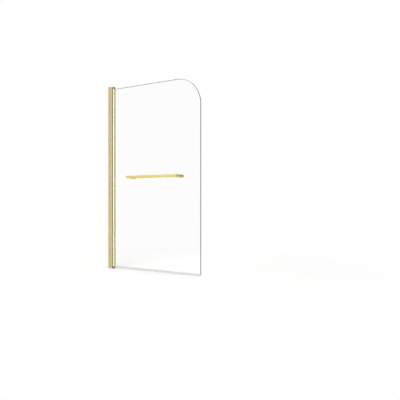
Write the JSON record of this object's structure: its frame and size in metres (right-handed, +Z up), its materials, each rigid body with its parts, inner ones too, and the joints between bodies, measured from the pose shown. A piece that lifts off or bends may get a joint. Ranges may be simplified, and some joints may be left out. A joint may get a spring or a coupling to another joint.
{
  "type": "pivot bath screen",
  "caption": "Hinged glass bath screen: a clear panel with one rounded top corner turns on a round metal profile in a wall post, with a towel bar through the glass.",
  "frame": {"origin": "on the wall plane, at the middle of the glass thickness, on the bath rim at the foot of the wall channel", "axes": "+X from the wall along the bath, +Y from the room into the bath, +Z up; the closed screen lies along X"},
  "size_m": [0.864, 0.109, 1.473],
  "materials": {
    "gold_profile": "satin gold anodised extrusion with fine lengthwise brushing",
    "gold_bar": "satin brushed gold plating",
    "clear_glass": "clear toughened glass, polished flat edges with a green tint",
    "dark_plastic": "moulded dark grey nylon",
    "wiper_rubber": "dark grey soft extrusion",
    "clear_seal": "clear soft vinyl extrusion",
    "white_nylon": "natural white nylon",
    "grey_washer": "grey soft washer",
    "stainless": "stainless steel"
  },
  "bodies": {
    "wall_frame": {"wall_channel": "gold_profile", "hinge_post": "gold_profile", "front_wiper_seal": "wiper_rubber", "rear_wiper_seal": "wiper_rubber", "top_pivot_bracket": "dark_plastic", "bottom_pivot_bracket": "dark_plastic", "top_pivot_pin": "stainless", "bottom_pivot_pin": "stainless", "bottom_thrust_washer": "white_nylon", "bracket_screws": "stainless", "channel_fixing_screws": "stainless", "screw_cover_caps": "gold_bar"},
    "door": {"pivot_barrel": "gold_profile", "top_barrel_plug": "dark_plastic", "bottom_barrel_plug": "dark_plastic", "top_thrust_washer": "white_nylon", "barrel_plug_screws": "stainless", "glazing_gasket": "clear_seal", "glass_panel": "clear_glass", "bottom_drip_seal": "clear_seal", "towel_bar": "gold_bar", "wall_side_end_plug": "gold_bar", "free_side_end_plug": "gold_bar", "wall_side_post": "gold_bar", "free_side_post": "gold_bar", "wall_side_stud": "stainless", "free_side_stud": "stainless", "glass_sleeves": "white_nylon", "outer_glass_washers": "grey_washer", "inner_glass_washers": "grey_washer", "wall_side_knob": "gold_bar", "free_side_knob": "gold_bar"}
  },
  "joints": [
    {"name": "door_pivot", "type": "hinge", "parent": "wall_frame", "child": "door", "pos_m": [0.0485, 0, 0], "axis": [0, 0, 1], "range_deg": [-80, 90]}
  ]
}
